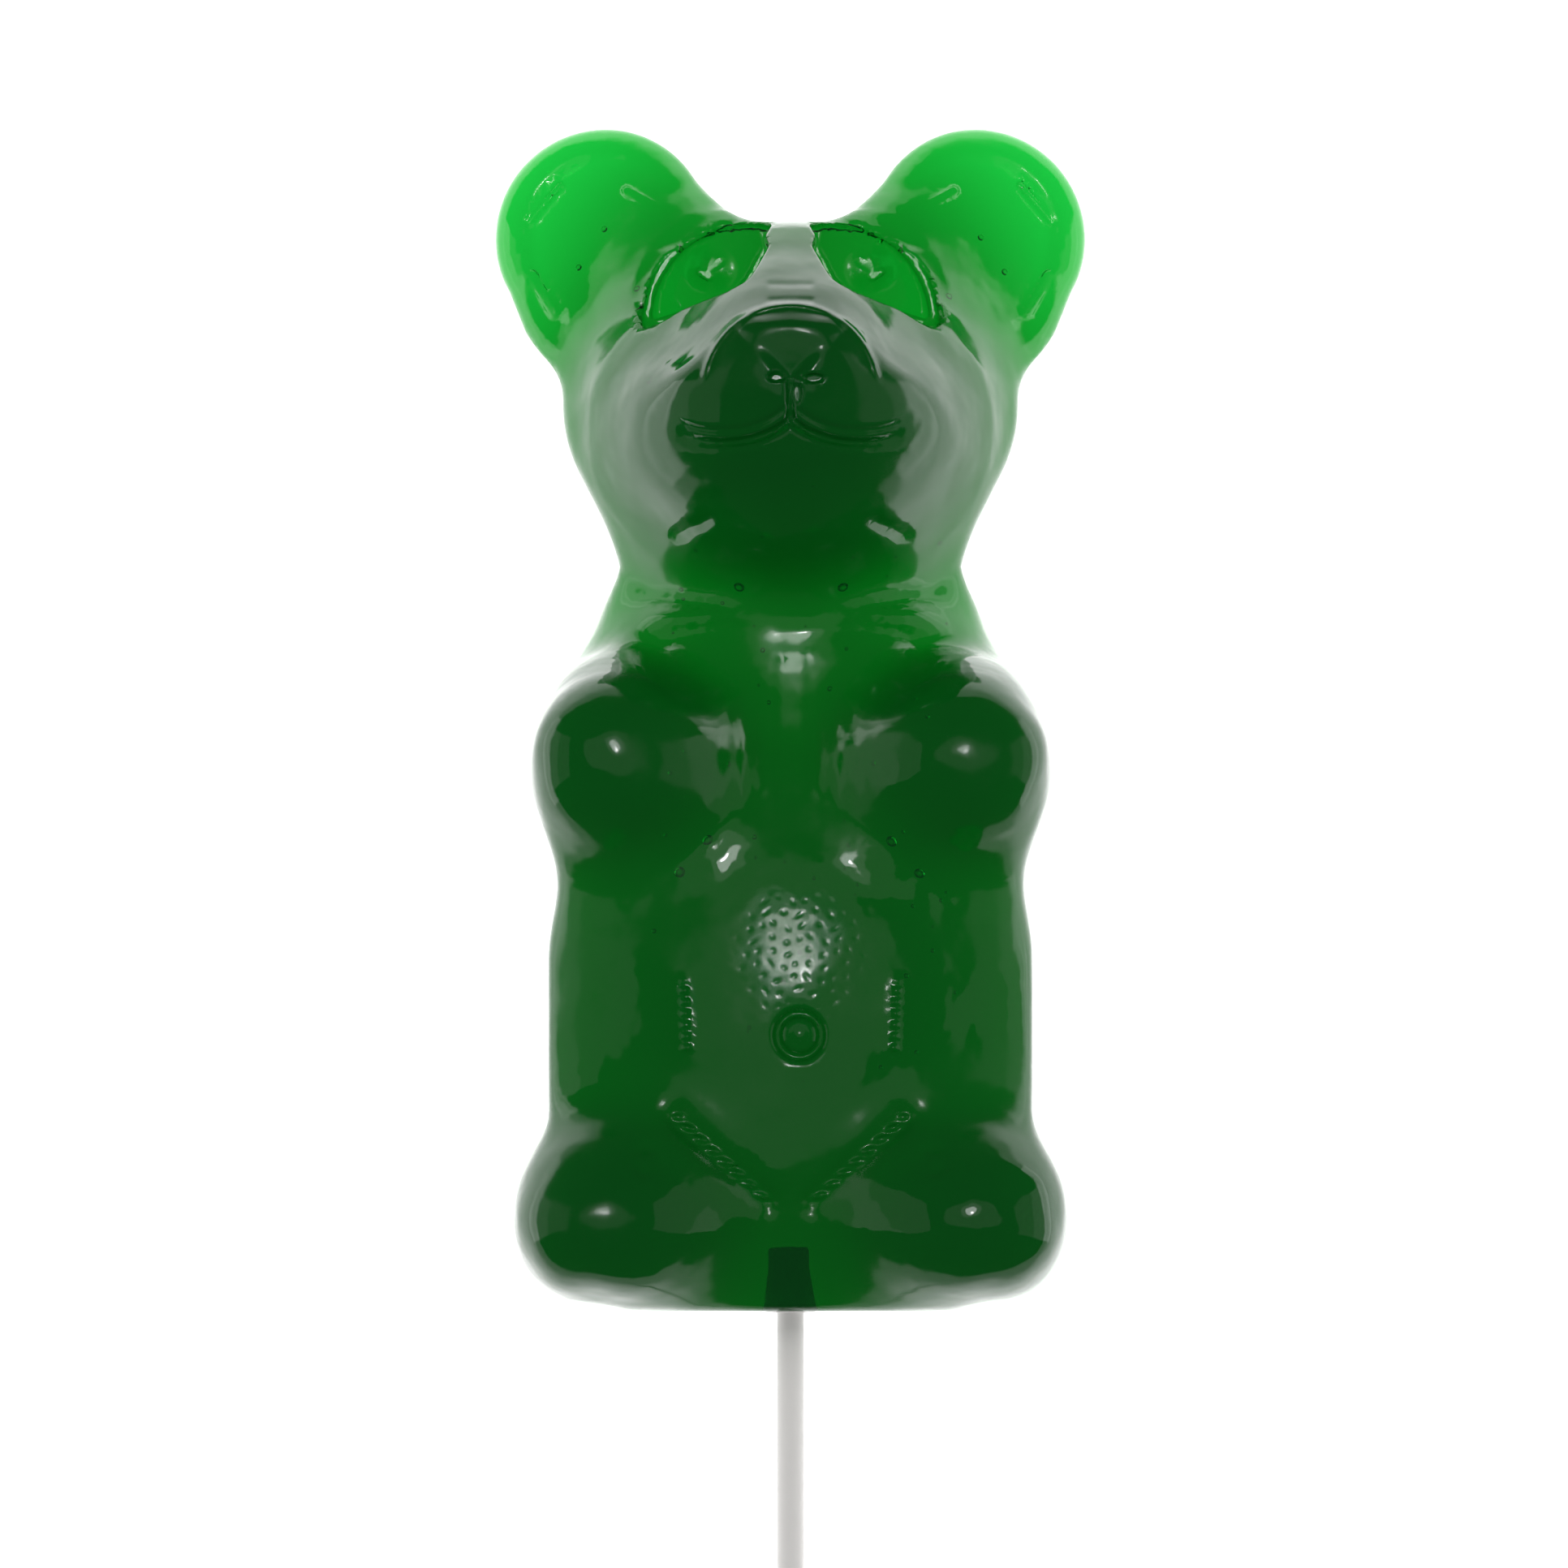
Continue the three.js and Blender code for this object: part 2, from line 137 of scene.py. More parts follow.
def eye_outline(flat):
    """A leaf shape: a long arc above, nearly straight below and on the side of the nose."""
    x, y = flat
    arc = length(x - HEAD[0], y - HEAD[1]) - 9.0
    below = 39.1 - 0.316 * x - 0.949 * y
    beside = 23.1 - 0.88 * x - 0.474 * y
    return trim(arc, trim(below, beside, 1.2), 0.5)


def muzzle_outline(flat):
    snout = ellipsoid(flat, (0, 29.4), (8.5, 8.3))
    jowl = limb(flat, (0, 27.2), (6.9, 27), (4.4, 4.9))
    return join(snout, jowl, 2.5)


def groove(flat, start, end, width):
    """1 along the line between two points, fading out to the sides and at the ends."""
    return ridge(limb(flat, start, end, (0, 0)), width)


NOSE_GLINTS = (((-1.3, 30.8), (0.75, 0.45)), ((2.1, 30.7), (0.95, 0.42)), ((0.6, 29.3), (0.42, 0.9)))


def face_relief(x, y):
    """The nose pad, the folds above it and the mouth, as a height above the rounded forms."""
    side = np.abs(x)
    flat = (side, y)
    nose = trim(y - 36.0, 0.75 * side - 0.66 * (y - 30.2), 2.0)
    nose_level = 38.6 + 0.15 * (y - 34)
    height = (nose_level - muzzle_top(x, y)) * fade(nose, 1.4)
    nose_arch = ellipsoid(flat, (0, 29.5), (8, 8))
    height = height + 0.35 * ridge(nose_arch, 0.3) * ease(y, 30, 32)
    for fold in (37.9, 39.5):
        height = height - 0.12 * groove(flat, (0, fold), (1.8, fold), 0.35)
    lip = ellipsoid(flat, (6.2, 29.4), (7.2, 4.5))
    lip_ends = fade(y - 28.2, 1.5) * fade(side - 10.2, 1.5)
    height = height - (0.7 * ridge(lip, 0.45) + 0.3 * ridge(lip + 1.1, 0.35)) * lip_ends
    height = height - 0.6 * groove(flat, (0, 27.5), (0, 30), 0.4)
    return height - 0.4 * groove(flat, (7.6, 18), (10.5, 16.8), 0.4)


SIDE_CREASE = ((9.8, -24.5), (9.5, -30.5))        # beside the belly
FORK = ((10.4, -36.8), (2.2, -44.4))              # between the belly and the leg
CHEST_FOLD = ((3.4, -7.6), (14.5, -16.8))
NAVEL = (0.8, -29.2)
BELLY_TOP = (0.8, -22)


def pit_distance(x, y):
    """Distance from the nearest of the belly's pits, which stand in uneven, staggered rows."""
    pitch, row_pitch = 1.35, 1.2
    across = (x + 0.35 * np.sin(1.9 * y + 0.6 * x)) / pitch
    along = (y + 0.3 * np.sin(1.7 * x - 0.4 * y)) / row_pitch
    row = np.round(along)
    place = across + 0.5 * (row % 2)
    return length(pitch * (place - np.round(place)), row_pitch * (along - row))


def belly_relief(x, y):
    """Creases, the streaks of the chest, the navel and the pits, as a height."""
    side = np.abs(x)
    flat = (side, y)
    height = -0.15 * groove(flat, *CHEST_FOLD, 0.8)
    beads = 0.6 + 0.4 * np.cos(6 * y)
    height = height + 0.35 * beads * groove(flat, *SIDE_CREASE, 0.45)
    height = height - 0.7 * groove(flat, *FORK, 1.2) + 0.4 * beads * groove(flat, *FORK, 0.4)
    leg_ring = length(side - 13.2, y + 40.6) - 1.1
    height = height - 0.25 * ridge(leg_ring, 0.35)
    chest = ridge(side, 5) * ease(y, -12, -7) * (1 - ease(y, 4, 8))
    height = height + 0.06 * np.cos(side * 3.8) * chest
    navel = length(x - NAVEL[0], y - NAVEL[1])
    height = height - 0.6 * ridge(navel - 2.0, 0.45) + 0.25 * ridge(navel, 0.8)
    pitted = 1 - ease(length(x - BELLY_TOP[0], y - BELLY_TOP[1]), 5, 6.8)
    return height - 0.045 * ridge(pit_distance(x, y), 0.2) * pitted


def relief(x, y):
    """All the fine forms, as a height, with the level spots below the nose that catch the light."""
    height = face_relief(x, y) + belly_relief(x, y)
    glint_level = 38.3 - 0.08 * (y - 30)
    for centre, half in NOSE_GLINTS:
        glint = fade(ellipsoid((x, y), centre, half), 0.2)
        height = height + (glint_level - muzzle_top(x, y) - height) * glint
    return height


WAVES = 14                # slow waves that make the skin as uneven as a cast jelly is
WAVE_STEEPNESS = 0.003    # a wave's height for each millimetre of its length
wave_draw = np.random.default_rng(7)
wave_direction = wave_draw.normal(size=(WAVES, 3))
wave_direction /= np.linalg.norm(wave_direction, axis=1)[:, None]
wave_length = wave_draw.uniform(3.5, 11, WAVES)
wave_start = wave_draw.uniform(0, 2 * math.pi, WAVES)


def unevenness(x, y, z):
    """A height made of slow waves, which are calmer on the tight skin of the belly."""
    height = 0
    for direction, wavelength, start in zip(wave_direction, wave_length, wave_start):
        along = direction[0] * x + direction[1] * y + direction[2] * z
        swing = WAVE_STEEPNESS * wavelength
        height = height + swing * np.sin(2 * math.pi * along / wavelength + start)
    calm = 0.75 * ridge(length(x, y + 20), 14)
    return height * (1 - calm)


def body(point, flat, z):
    """The torso, neck and head, with flanks that round over from the outline."""
    x, y = flat
    beside_face = np.maximum(length(x - HEAD[0], y - HEAD[1]) - 11.3, 0)
    chest_fall = 0.15 * np.clip(y + 14, 0, 26)
    brow_fall = 8.6 * ease(y, 17, 33)
    ear_fall = 0.85 * beside_face * ease(y, 30, 36)
    top = 28.0 - chest_fall - brow_fall - ear_fall
    edge = 7 + 6.5 * ease(y, -16, 6) - 8.5 * ease(y, 28, 38)
    form = block(figure_outline(flat), z, top, edge)
    lean, rise = 3.9, 7
    end = (lean * (z - 10) - rise * (y + 55.3)) / math.hypot(lean, rise)
    form = trim(form, end, 4)
    form = join(form, cheeks(flat, z), 4)
    bridge = limb(point, (0, 34, 29), (0, 45, 11.5), (5, 5))
    form = join(form, bridge, 3)
    belly = ellipsoid(point, (0, -30, 20.3), (25, 30.5, 12))
    return join(form, belly, 1.5)


def cheeks(flat, z):
    """The face rises as a blunt cone to the muzzle, and is steeper below the eyes."""
    level, top = 24, 33.5
    taper = 0.68 + 0.52 * ease(flat[1], 31, 35)
    rise = z - level
    side = ellipsoid(flat, (0, 26), (15.7, 12.5))
    side = side + taper * np.maximum(rise, 0) + 0.75 * np.minimum(rise, 0)
    return block(side, z, top, 3.5)


def muzzle_top(x, y):
    """Height of the domed top of the muzzle."""
    return 39 - 0.028 * (x ** 2 + (y - 31.5) ** 2)


def muzzle(point, flat, z):
    """The snout with its jowls, which widens downwards, and the chin below it."""
    side = muzzle_outline(flat) + 0.4 * np.maximum(z - 36, -14)
    edge = 2.6 - 0.8 * ease(flat[1], 27, 32)
    snout = block(side, z, muzzle_top(*flat), edge)
    chin = ellipsoid(point, (0, 22, 21), (8.2, 9.5, 12))
    return join(snout, chin, 6)


def eye_rim(flat, z):
    """Negative where the face is raised round the eye, to a narrow level rim."""
    level = rim_level(flat)
    shoulder = 0.9 * np.clip(z - level, -2, 0)
    return block(eye_outline(flat) - rim_width(flat) + shoulder, z, level, 0.1)


def rim_level(flat):
    return 17.2 - 0.07 * (flat[1] - 40)


def rim_width(flat):
    corner = fade(length(flat[0] - 13.1, flat[1] - 37), 2.6)
    width = 0.3 + 0.5 * ease(np.abs(flat[0] - 7.6), 2.0, 4.5) + 0.5 * corner
    return width * (1 - ease(flat[1], 43.2, 44.6))


PUPIL_STROKES = (((7.3, 42.7), (7.6, 41.6)), ((6.5, 42.4), (7.2, 41.9)), ((7.6, 41.0), (8.4, 41.5)))


def eye_socket(flat, z):
    """Negative where the eye is let into the face, down to a floor with a raised pupil."""
    floor = 13.8 + 0.3 * np.maximum(13 - flat[0], 0)
    pupil = ellipsoid(flat, (7.5, 41.7), (1.5, 1.3))
    floor = floor + 0.7 * fade(pupil, 2.4)
    stroke_level = 16.1 - 0.1 * (flat[1] - 42)
    for start, end in PUPIL_STROKES:
        stroke = fade(limb(flat, start, end, (0.36, 0.36)), 0.12)
        floor = floor + (stroke_level - floor) * stroke
    eye = eye_outline(flat)
    ledge = np.maximum(eye - rim_width(flat), rim_level(flat) - z)
    return np.minimum(ledge, np.maximum(eye, floor - z))


EAR = (17.5, 44.5)        # the middle of the ear
EAR_FACETS = (            # short flat strokes that catch the light: start, end and half the width
    ((10.8, 46.6), (15.3, 49.3), 0.5), ((24.2, 41.4), (22.2, 38.0), 0.55),
    ((24.6, 46.6), (21.6, 50.0), 0.35),
    ((23.4, 34.4), (20.8, 32.6), 0.2), ((20.6, 32.8), (18.3, 35.0), 0.2),
)


def ear_plate(flat, z):
    """The ear thins towards its rim, and its face is dished, with a low ridge round the dish."""
    out = 0.5 * (flat[0] - EAR[0]) + 0.87 * (flat[1] - EAR[1])
    dish = ear_dish(flat)
    thickness = 9.2 - 0.2 * out - 1.6 * fade(dish, 2.4) + 0.4 * ridge(dish - 0.5, 0.5)
    for start, end, half in EAR_FACETS:
        x, y = [(a + b) / 2 for a, b in zip(start, end)]
        level = 9 - 0.1 * (x - EAR[0]) - 0.174 * (y - EAR[1])
        level = level - 0.055 * (flat[1] - y) + 0.017 * (flat[0] - x)
        facet = fade(limb(flat, start, end, (half, half)), 0.3)
        thickness = thickness + (level - thickness) * facet
    return block(ear_outline(flat), z, thickness, 2.6)


def ear_dish(flat):
    return limb(flat, (17.2, 45.4), (17.6, 40.5), (7.2, 6.4))


def wall(flat, z):
    """The side of the mould, which leans in a little so that the casting comes out."""
    return figure_outline(flat) + 0.03 * np.maximum(z - 6, 0)


def paws(point, flat, z):
    """The ends of an arm and a leg, which stand up beside the belly."""
    arm = ellipsoid(point, (16.2, -3.9, 25), (11, 8.8, 10))
    leg = ellipsoid(point, (16.8, -46, 25), (11.5, 9.0, 12))
    return trim(np.minimum(arm, leg), wall(flat, z), 3)


def mirrored(x):
    """Distance from the middle, eased near it so that the two halves meet without a crease."""
    return np.where(np.abs(x) < 3, x * x / 6 + 1.5, np.abs(x))


def jelly_distance(x, y, z):
    """The whole bear: the forms, then the relief of its upper side, the eyes, walls and back."""
    side = mirrored(x)
    flat, point = (side, y), (side, y, z)
    beside = (np.abs(x), y)
    form = join(body(point, flat, z), ear_plate(flat, z), 5)
    form = join(form, paws(point, flat, z), 7)
    form = join(form, muzzle((x, y, z), beside, z), 6)
    upper_side = np.clip((z - 8) / 5, 0, 1)
    form = form - (relief(x, y) + unevenness(x, y, z)) * upper_side
    form = join(form, eye_rim(beside, z), 1)
    form = trim(form, -eye_socket(beside, z), 0.1)
    form = trim(form, wall(flat, z), 0.6)
    below_back = 0.35         # the back is cut flat at Z = 0, where its edge has rounded in a little
    return trim(form, -below_back - z, 2.2)


BLOCK_SIDE = 4            # steps of the grid along one side of a coarse block
BLOCK_REACH = 4           # mm from the middle of a block within which it may hold some surface


def skin(distance, axes):
    """Vertices and four-sided faces of the surface where the distance is zero.

    The space is tried in coarse blocks first, and only those near the surface in full.
    """
    middles = [axis.reshape(-1, BLOCK_SIDE).mean(axis=1) for axis in axes]
    rough = distance(*np.meshgrid(*middles, indexing="ij"))
    values = rough.repeat(BLOCK_SIDE, 0).repeat(BLOCK_SIDE, 1).repeat(BLOCK_SIDE, 2)
    near = np.abs(values) < BLOCK_REACH
    values[near] = distance(*[axis[place] for axis, place in zip(axes, np.nonzero(near))])
    inside = values < 0
    cells = tuple(size - 1 for size in inside.shape)
    filled = np.zeros(cells, np.int8)
    for corner in np.ndindex(2, 2, 2):
        filled += inside[tuple(slice(c, c + size) for c, size in zip(corner, cells))]
    crossed = (filled > 0) & (filled < 8)
    number = np.full(cells, -1)
    number[crossed] = np.arange(crossed.sum())
    places = np.argwhere(crossed)
    points = np.stack([(axis[p] + axis[p + 1]) / 2 for axis, p in zip(axes, places.T)], axis=1)

    faces = []
    for axis in range(3):
        u, v = (axis + 1) % 3, (axis + 2) % 3
        core = [slice(1, -1)] * 3
        ahead = list(core)
        ahead[axis] = slice(2, None)
        here, there = inside[tuple(core)], inside[tuple(ahead)]
        edges = np.argwhere(here != there) + 1
        turned = here[here != there]
        ring = []
        for a, b in ((0, 0), (1, 0), (1, 1), (0, 1)):
            cell = edges.copy()
            cell[:, u] -= a
            cell[:, v] -= b
            ring.append(number[tuple(cell.T)])
        ring = np.stack(ring, axis=1)
        ring[~turned] = ring[~turned][:, ::-1]
        faces.append(ring)
    faces = np.concatenate(faces)
    return settle(points, faces, distance), faces


def settle(points, faces, distance):
    """Evens out the spacing of the vertices and draws them on to the surface."""
    rounds, share = 4, 0.5
    a = np.concatenate([faces[:, i] for i in range(4)])
    b = np.concatenate([faces[:, (i + 1) % 4] for i in range(4)])
    ends = np.concatenate([a, b])
    others = np.concatenate([b, a])
    degree = np.bincount(ends, minlength=len(points))[:, None]
    for _ in range(rounds):
        middle = np.stack([np.bincount(ends, points[others, i], len(points)) for i in range(3)], axis=1)
        points = draw_on(points + share * (middle / degree - points), distance)
    return points


def draw_on(points, distance):
    """Moves points straight on to the surface where the distance is zero."""
    nudge, longest_move, flattest = 0.01, 0.3, 0.05
    for _ in range(2):
        value = distance(*points.T)
        slope = np.empty_like(points)
        for axis in range(3):
            shift = np.zeros(3)
            shift[axis] = nudge
            slope[:, axis] = distance(*(points + shift).T) - distance(*(points - shift).T)
        slope /= 2 * nudge
        size = np.maximum((slope ** 2).sum(axis=1), flattest)
        points = points - (np.clip(value, -longest_move, longest_move) / size)[:, None] * slope
    return points


def add_mesh(name, points, faces):
    """A smooth-shaded mesh object from millimetre points."""
    mesh = bpy.data.meshes.new(name)
    mesh.from_pydata((np.asarray(points) * MM).tolist(), [], [list(map(int, face)) for face in faces])
    return add_piece(name, mesh)


def add_piece(name, mesh):
    mesh.polygons.foreach_set("use_smooth", [True] * len(mesh.polygons))
    mesh.update()
    piece = bpy.data.objects.new(name, mesh)
    bpy.context.scene.collection.objects.link(piece)
    return piece


def new_material(name):
    """A material, with its nodes, its links and its main shader."""
    material = bpy.data.materials.new(name)
    material.use_nodes = True
    nodes = material.node_tree.nodes
    return material, nodes, material.node_tree.links, nodes["Principled BSDF"]


def noise(scale, detail):
    """Cloudy unevenness in the material that is being made, fixed to the piece."""
    place = nodes.new("ShaderNodeTexCoord")
    node = nodes.new("ShaderNodeTexNoise")
    node.inputs["Scale"].default_value = scale
    node.inputs["Detail"].default_value = detail
    links.new(place.outputs["Object"], node.inputs["Vector"])
    return node.outputs["Fac"]


def spread(source, low, high, start, end):
    """The source, from low to high, as a value from start to end."""
    node = nodes.new("ShaderNodeMapRange")
    for socket, value in zip(("From Min", "From Max", "To Min", "To Max"), (low, high, start, end)):
        node.inputs[socket].default_value = value
    links.new(source, node.inputs["Value"])
    return node.outputs["Result"]


def bump(height, distance):
    """A surface direction that leans as if the height stood up by the distance."""
    node = nodes.new("ShaderNodeBump")
    node.inputs["Distance"].default_value = distance
    links.new(height, node.inputs["Height"])
    return node.outputs["Normal"]


def fine_work(x, y, z):
    """Negative where the relief is too fine for the faces of the rest of the skin."""
    flat = (np.abs(x), y)
    top = [
        limb(flat, (3.5, 41.5), (10.5, 40), (4.4, 3.9)), ellipsoid(flat, (0, 30.5), (11, 7.5)),
        limb((x, y), NAVEL, BELLY_TOP, (2.8, 6.4)), limb(flat, *SIDE_CREASE, (0.7, 0.7)),
        limb(flat, *FORK, (1, 1)),
    ]
    ears = [limb(flat, start, end, (half + 0.2, half + 0.2)) for start, end, half in EAR_FACETS]
    top_from, ears_from = 12, 5        # only the upper side is fine, from these heights
    top = np.maximum(np.minimum.reduce(top), top_from - z)
    ears = np.maximum(np.minimum.reduce(ears), ears_from - z)
    return np.minimum(top, ears)


def vertex_places(shell):
    shell.verts.ensure_lookup_table()
    return np.array([vertex.co for vertex in shell.verts]) / MM


def refine(piece, distance):
    """Splits each face in the fine work in four, twice over, and draws the corners on."""
    for margin in (0.5, 0):
        shell = bmesh.new()
        shell.from_mesh(piece.data)
        places = vertex_places(shell)
        fine = fine_work(*places.T) < margin
        edges = [edge for edge in shell.edges if all(fine[end.index] for end in edge.verts)]
        bmesh.ops.subdivide_edges(shell, edges=edges, cuts=1, use_grid_fill=True)
        places = vertex_places(shell)
        fine = fine_work(*places.T) < margin
        places[fine] = draw_on(places[fine], distance)
        for vertex, place in zip(shell.verts, places * MM):
            vertex.co = place
        shell.to_mesh(piece.data)
        shell.free()


def close_back(piece):
    """Closes the open underside with one flat face."""
    shell = bmesh.new()
    shell.from_mesh(piece.data)
    loose = [vertex for vertex in shell.verts if not vertex.link_faces]
    bmesh.ops.delete(shell, geom=loose, context="VERTS")
    rim = [edge for edge in shell.edges if edge.is_boundary]
    for face in bmesh.ops.holes_fill(shell, edges=rim)["faces"]:
        face.smooth = False
    shell.to_mesh(piece.data)
    shell.free()


STEP = 0.7                # size of the faces of the skin before the fine work is split
SPACE = ((-29, 29), (-57, 57), (-1.5, 43))
axes = []
for low, high in SPACE:
    blocks = math.ceil((high - low) / STEP / BLOCK_SIDE)
    axes.append(low + STEP * np.arange(blocks * BLOCK_SIDE))
points, faces = skin(jelly_distance, axes)
points[:, 2] = np.maximum(points[:, 2], 0)
faces = faces[points[faces][:, :, 2].max(axis=1) > 0]
bear = add_mesh("green_jelly_bear", points, faces)
close_back(bear)
refine(bear, jelly_distance)

jelly, nodes, links, shader = new_material("green_fruit_jelly")
shader.inputs["Base Color"].default_value = (0.03, 0.8, 0.13, 1)
shader.inputs["IOR"].default_value = 1.42
shader.inputs["Transmission Weight"].default_value = 0.95
links.new(bump(noise(400, 1), 0.07 * MM), shader.inputs["Normal"])
links.new(spread(noise(120, 0), 0.35, 0.65, 0.05, 0.16), shader.inputs["Roughness"])
absorption = nodes.new("ShaderNodeVolumeAbsorption")
absorption.inputs["Color"].default_value = (0.2, 0.6, 0.3, 1)
absorption.inputs["Density"].default_value = 270
links.new(absorption.outputs["Volume"], nodes["Material Output"].inputs["Volume"])
bear.data.materials.append(jelly)
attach(bear, "root")
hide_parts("bear")

# --- Air bubbles ----------------------------------------------------------------------------
# Air that was caught in the hot jelly: single bubbles, 0.2 to 1.1 mm across, that lie just under
# the skin of the chest, the belly, the cheek and the ears. They are one joined piece.
BUBBLE_DEPTH = 1.3        # of the middle of each under the skin
CHEST_BUBBLES = ((-4.5, 12.3), (4.6, 12.3), (-7.7, -11.3), (-10.1, -14.3), (9.4, -11.3), (11.8, -14.3))
FACE_BUBBLES = (
    (-12.4, 30.5), (-17.2, 45.6), (-19.6, 42.0), (-14.0, 39.5), (17.6, 44.8), (19.8, 41.6), (14.3, 38.8),
)
SMALL_BUBBLES = 60
places = list(CHEST_BUBBLES + FACE_BUBBLES)
sizes = [0.55] * len(CHEST_BUBBLES) + [0.35] * len(FACE_BUBBLES)
bubble_draw = np.random.default_rng(3)
for _ in range(SMALL_BUBBLES):
    places.append((bubble_draw.uniform(-15, 15), bubble_draw.uniform(-34, 26)))
    sizes.append(bubble_draw.uniform(0.1, 0.26))


def bubble_heights(places):
    """The highest Z at each place that is deep enough in the jelly, tried from the top down."""
    levels = np.arange(40, 3, -0.1)
    across, along = np.array(places).T[:, :, None]
    depth = -jelly_distance(*np.broadcast_arrays(across, along, levels))
    return levels[(depth > BUBBLE_DEPTH).argmax(axis=1)]


balls = bmesh.new()
for (x, y), z, size in zip(places, bubble_heights(places), sizes):
    ball = bmesh.ops.create_icosphere(balls, subdivisions=2, radius=size * MM)
    bmesh.ops.translate(balls, verts=ball["verts"], vec=(x * MM, y * MM, z * MM))
bubble_mesh = bpy.data.meshes.new("air_bubbles")
balls.to_mesh(bubble_mesh)
balls.free()
bubbles = add_piece("air_bubbles", bubble_mesh)

air, nodes, links, shader = new_material("air_in_jelly")
shader.inputs["Base Color"].default_value = (0.9, 1, 0.93, 1)
shader.inputs["IOR"].default_value = 0.704        # of air, seen from inside the jelly
shader.inputs["Transmission Weight"].default_value = 1.0
ripple = noise(2000, 2)
links.new(spread(ripple, 0.35, 0.65, 0.01, 0.05), shader.inputs["Roughness"])
links.new(bump(ripple, 0.02 * MM), shader.inputs["Normal"])
bubbles.data.materials.append(air)
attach(bubbles, "root")

# --- The stick ------------------------------------------------------------------------------
# A thin white stick of moulded plastic with a matt, slightly grained skin. Its thicker collar was
# set in the hot jelly between the feet, and the socket that it left grips it.
STICK_RADIUS = 1.25
COLLAR_RADIUS = 2.5
STICK_END = -151.0
COLLAR_START = -55.4
COLLAR_END = -48.0        # in the jelly
STICK_HEIGHT = 14.0       # of its axis above the table
STICK_SIDES = 48


def turned_stick():
    """Rings of points along the stick, from its free end, with small roundings, and their faces."""
    outline = [
        (STICK_RADIUS - 0.35, STICK_END),
        (STICK_RADIUS - 0.05, STICK_END + 0.15),
        (STICK_RADIUS, STICK_END + 0.4),
        (STICK_RADIUS, COLLAR_START - 0.2),
        (STICK_RADIUS + 0.1, COLLAR_START - 0.05),
        (COLLAR_RADIUS - 0.2, COLLAR_START),
        (COLLAR_RADIUS, COLLAR_START + 0.2),
        (COLLAR_RADIUS, COLLAR_END - 0.3),
        (COLLAR_RADIUS - 0.2, COLLAR_END),
    ]
    points = []
    for radius, along in outline:
        for n in range(STICK_SIDES):
            angle = 2 * math.pi * n / STICK_SIDES
            points.append((radius * math.sin(angle), along, STICK_HEIGHT + radius * math.cos(angle)))
    faces = []
    for ring in range(len(outline) - 1):
        for n in range(STICK_SIDES):
            here, after = ring * STICK_SIDES, (ring + 1) * STICK_SIDES
            m = (n + 1) % STICK_SIDES
            faces.append((here + n, here + m, after + m, after + n))
    last = (len(outline) - 1) * STICK_SIDES
    faces.append(tuple(range(STICK_SIDES))[::-1])
    faces.append(tuple(range(last, last + STICK_SIDES)))
    return points, faces


stick = add_mesh("white_stick", *turned_stick())
white, nodes, links, shader = new_material("white_stick_plastic")
shader.inputs["Base Color"].default_value = (0.75, 0.73, 0.71, 1)
grain = noise(900, 3)
links.new(spread(grain, 0.3, 0.7, 0.38, 0.6), shader.inputs["Roughness"])
links.new(bump(grain, 0.04 * MM), shader.inputs["Normal"])
stick.data.materials.append(white)
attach(stick, "root")
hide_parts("stick")

# --- The table ------------------------------------------------------------------------------
# A wide, plain white table top with painted light: it glows softly, brightest in a pool round the bear,
# so that light comes up through the thin ears. It only stages the bear.
POOL = (0.11, 0.2)        # distances from the middle between which the glow falls off
POOL_GLOW = (1.7, 0.6)    # its strength within the first and past the second
bpy.ops.mesh.primitive_plane_add(size=6, location=(0, 0, -0.1 * MM))
table = bpy.context.object
table.name = "white_table"
table_painted_glow, nodes, links, shader = new_material("white_table_painted_glow")
shader.inputs["Base Color"].default_value = (0.4, 0.4, 0.4, 1)
shader.inputs["Roughness"].default_value = 0.9
shader.inputs["Specular IOR Level"].default_value = 0.0
shader.inputs["Emission Color"].default_value = (1, 1, 1, 1)
place = nodes.new("ShaderNodeTexCoord")
reach = nodes.new("ShaderNodeVectorMath")
reach.operation = "LENGTH"
links.new(place.outputs["Object"], reach.inputs[0])
# painted pool of light: the table's glow falls off with distance from the middle
links.new(spread(reach.outputs["Value"], *POOL, *POOL_GLOW), shader.inputs["Emission Strength"])
table.data.materials.append(table_painted_glow)

# --- The lamps ------------------------------------------------------------------------------
# Soft studio lamps: a round key high above the head, with a small bright core and a faint halo,
# low panels on both sides for the sheen of the flanks, and even light from above.


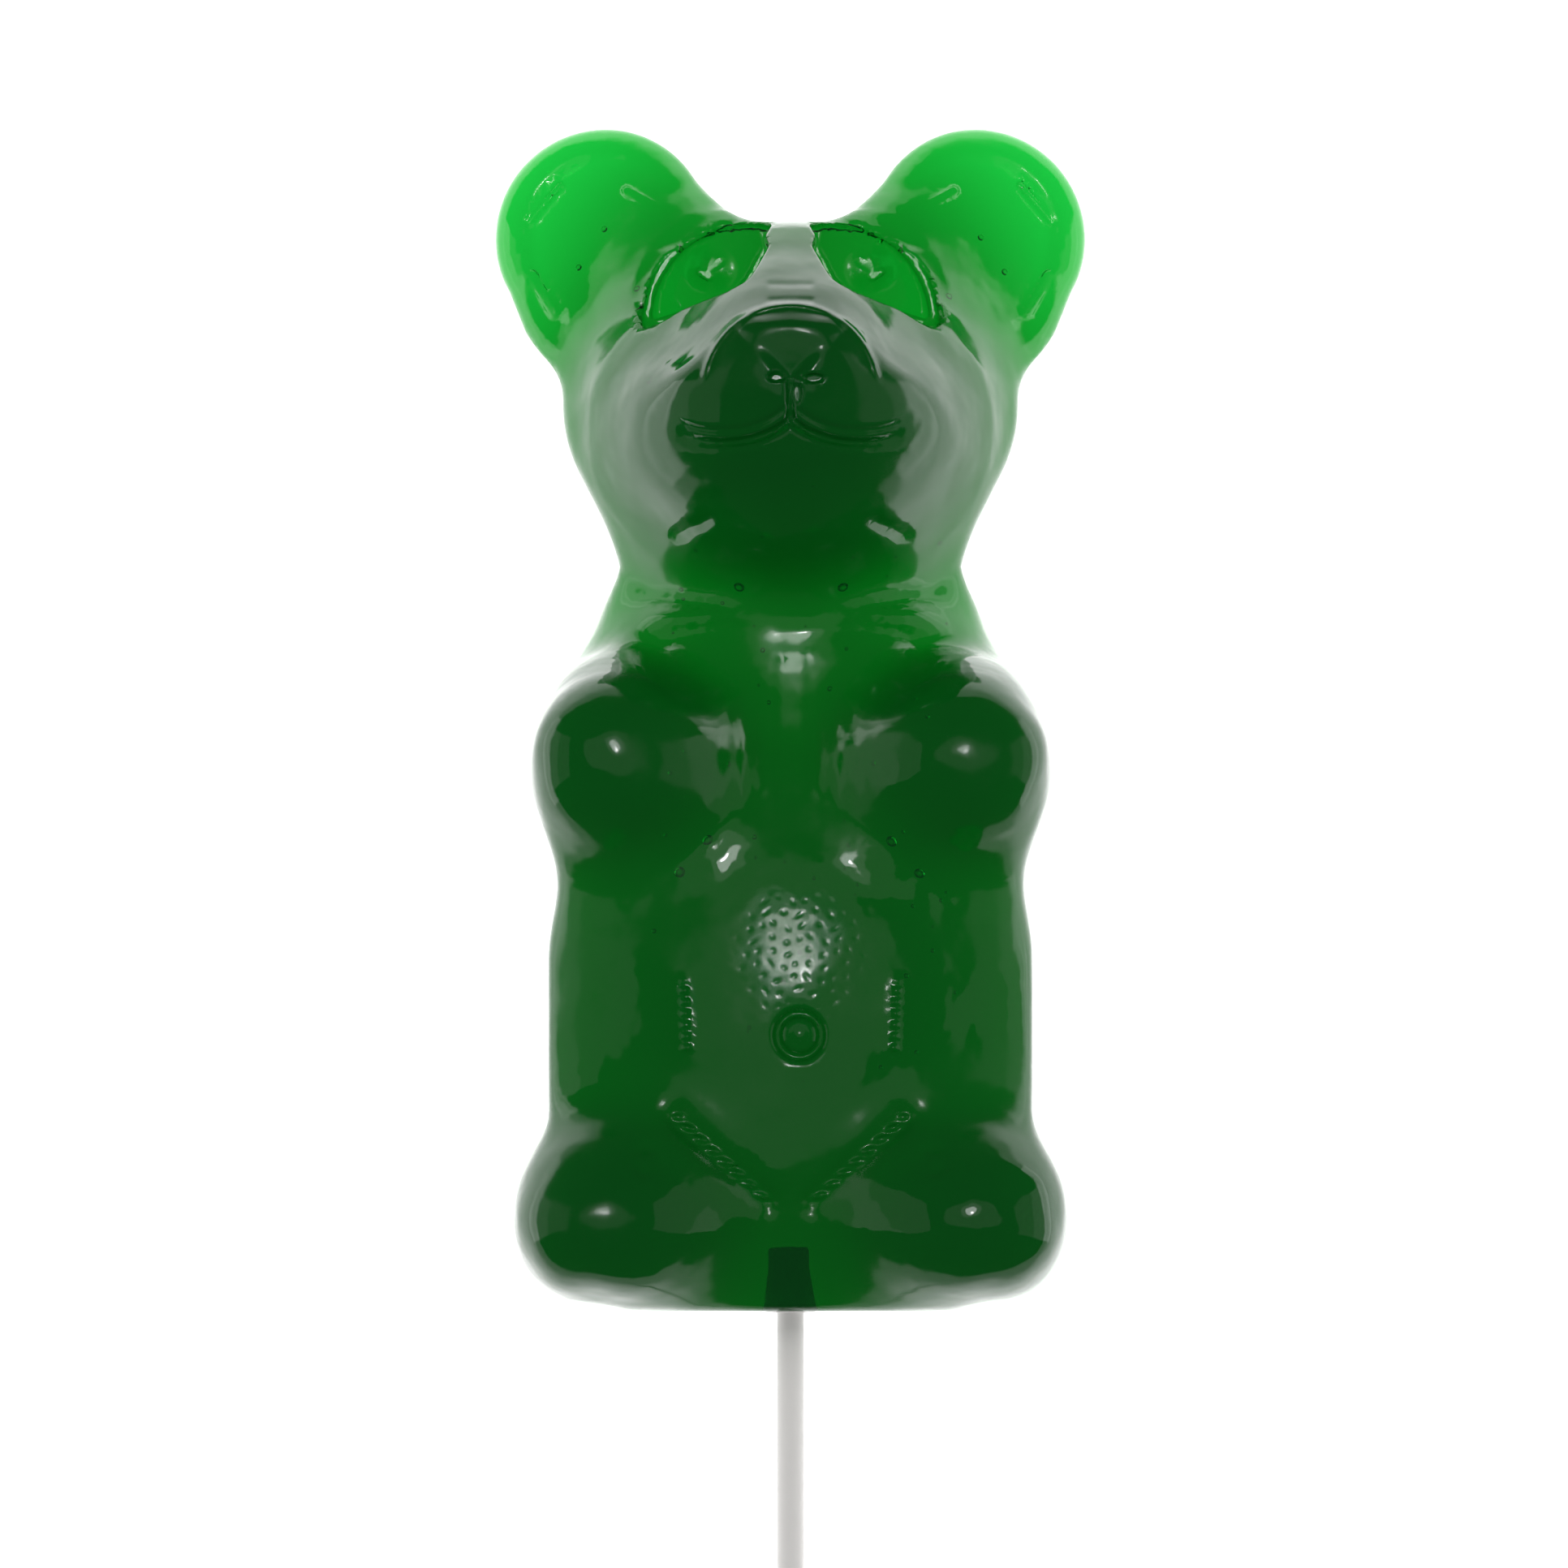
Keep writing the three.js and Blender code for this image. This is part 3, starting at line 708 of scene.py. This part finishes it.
def panel(name, place, target, width, height, radiance, shape="RECTANGLE"):
    """A soft lamp of an even brightness, turned to its target."""
    data = bpy.data.lights.new(name, "AREA")
    data.shape = shape
    data.size = width
    data.size_y = height
    area = math.pi * width * height / 4 if shape == "ELLIPSE" else width * height
    data.energy = radiance * math.pi * area
    lamp = bpy.data.objects.new(name, data)
    lamp.location = place
    aim = Vector(target) - Vector(place)
    lamp.rotation_euler = aim.to_track_quat("-Z", "Y").to_euler()
    lamp.visible_camera = False
    bpy.context.scene.collection.objects.link(lamp)
    return lamp


for side in (-1, 1):
    panel("side_panel", (side * 0.115, 0, 0.019), (0, 0, 0.019), 0.17, 0.038, 1.5)
    panel("side_glow", (side * 0.5, 0, 0.14), (0, 0, 0.14), 0.5, 0.28, 0.6)
    panel("side_haze", (side * 0.5, 0, 0.3), (0, 0, 0.3), 0.5, 0.6, 0.3)
panel("soft_key", (0, 0.21, 1.03), (0, 0, 0), 0.2, 0.2, 7, "ELLIPSE")
panel("key_core", (0.03, 0.16, 1.02), (0, 0, 0), 0.05, 0.05, 40, "ELLIPSE")
panel("key_halo", (0, 0.212, 1.04), (0, 0, 0), 0.44, 0.36, 0.7, "ELLIPSE")
panel("ceiling", (0, 0.15, 1.5), (0, 0, 0), 1.4, 1.2, 0.3, "ELLIPSE")
fill = panel("fill", (0, 0, 1.6), (0, 0, 0), 2.4, 2.4, 1.4, "ELLIPSE")
fill.visible_glossy = False
fill.visible_transmission = False

world = bpy.data.worlds.new("studio")
world.use_nodes = True
world.node_tree.nodes["Background"].inputs["Color"].default_value = (0.05, 0.055, 0.055, 1)
bpy.context.scene.world = world

# --- The camera -----------------------------------------------------------------------------
# It looks straight down on the belly from a metre above the table, and takes in a square.
CAMERA_HEIGHT = 1.0
CAMERA_MIDDLE = (-0.0006, -0.0062)        # where it looks, a little off the middle of the bear
IMAGE_PIXELS = 1932
PIXELS_PER_MM = 13.1
SCALE_LEVEL = 0.006       # height above the table at which that scale holds
SENSOR = 36
camera_data = bpy.data.cameras.new("camera")
camera_data.sensor_width = SENSOR
camera_data.lens = SENSOR * (CAMERA_HEIGHT - SCALE_LEVEL) / (IMAGE_PIXELS / PIXELS_PER_MM * MM)
camera = bpy.data.objects.new("camera", camera_data)
camera.location = (*CAMERA_MIDDLE, CAMERA_HEIGHT)
bpy.context.scene.collection.objects.link(camera)
bpy.context.scene.camera = camera
bpy.context.scene.view_settings.view_transform = "Standard"
